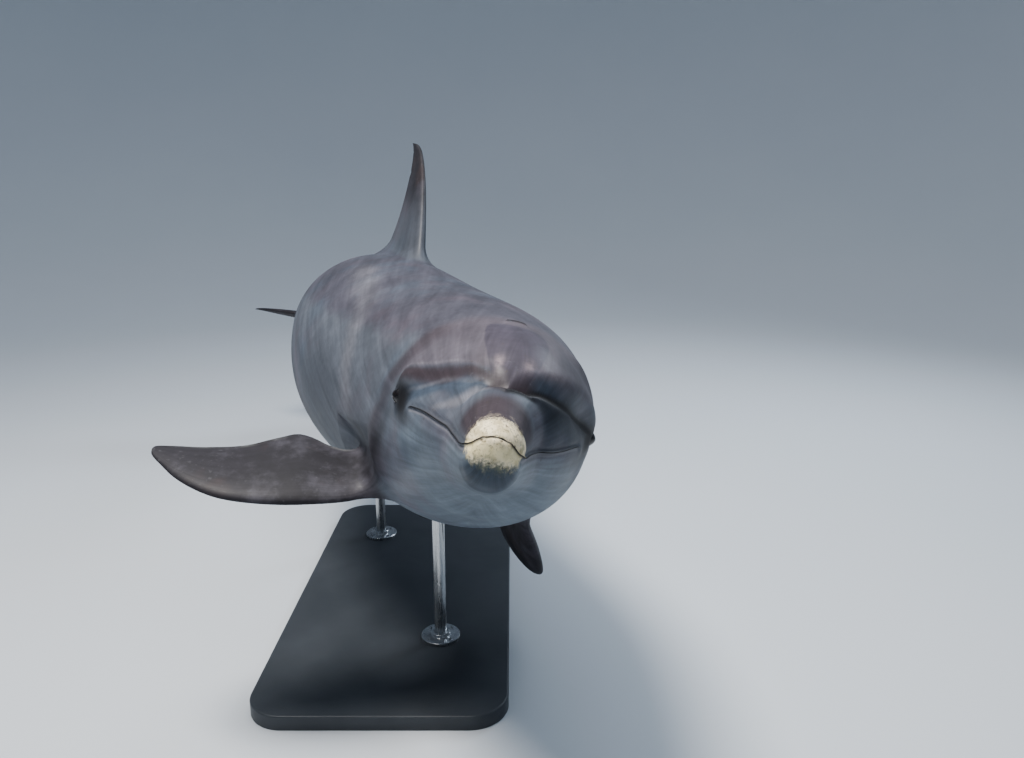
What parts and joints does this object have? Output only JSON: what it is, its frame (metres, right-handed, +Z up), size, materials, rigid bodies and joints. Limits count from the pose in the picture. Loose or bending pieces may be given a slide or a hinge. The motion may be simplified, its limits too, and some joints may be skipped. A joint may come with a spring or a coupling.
{
  "type": "life-size dolphin model",
  "caption": "Life-size still model of a bottlenose dolphin banking as it swims, mouth closed, held over a flat base by short rods.",
  "frame": {"origin": "centre of the underside of the stand's flat base", "axes": "+Z up, -Y the way the head points, +X the animal's left"},
  "size_m": [1.1289, 2.4476, 1.086],
  "materials": {
    "skin": "smooth grey skin, darker on the back",
    "beak_skin": "grey skin worn to cream at the tip",
    "jaw_skin": "pale grey skin",
    "fin_skin": "dark grey skin",
    "eye": "dark wet eye, polished",
    "stand_paint": "satin charcoal paint",
    "stand_steel": "brushed",
    "stand_rubber": "matt"
  },
  "bodies": {
    "root": {"rostrum": "beak_skin", "lower_jaw": "jaw_skin", "head": "skin", "chest": "skin", "trunk": "skin", "tail_stock": "skin", "dorsal_fin": "fin_skin", "flipper_right": "fin_skin", "flipper_left": "fin_skin", "fluke_right": "fin_skin", "fluke_left": "fin_skin", "eye_right": "eye", "eye_left": "eye", "stand_base": "stand_paint", "stand_rod_front": "stand_steel", "stand_rod_rear": "stand_steel", "stand_flange_front": "stand_steel", "stand_flange_rear": "stand_steel", "stand_pad_front": "stand_rubber", "stand_pad_rear": "stand_rubber"}
  },
  "joints": []
}
